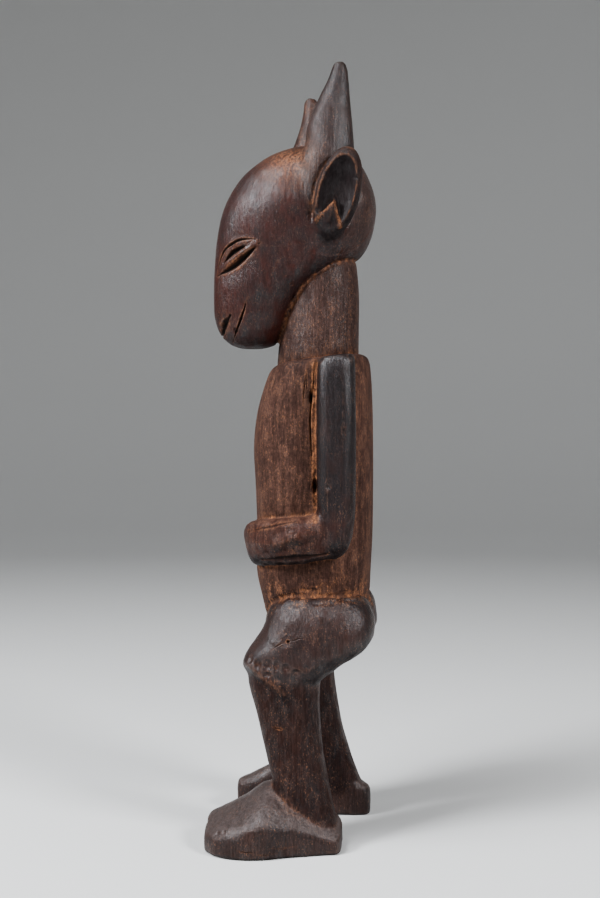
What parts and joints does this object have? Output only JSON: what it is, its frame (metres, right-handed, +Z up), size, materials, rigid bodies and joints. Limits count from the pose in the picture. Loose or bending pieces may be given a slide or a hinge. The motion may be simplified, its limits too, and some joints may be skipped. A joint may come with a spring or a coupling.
{
  "type": "carved wooden antelope figure",
  "caption": "Standing figure carved from one block of dark wood: upright human-like body, bent knees, hands on the belly, horned antelope head.",
  "frame": {"origin": "on the plane of the soles, under the middle of the bounding box", "axes": "+Z up through the head to the horn tips, -Y the way the body faces, +X towards the figure's own left side"},
  "size_m": [0.0838, 0.0648, 0.3],
  "materials": {
    "dark_wood": "old dark carved wood, rubbed to a soft gloss on the high places, with orange-brown dust in the cuts and creases"
  },
  "bodies": {
    "root": {"antelope_figure": "dark_wood"}
  },
  "joints": []
}
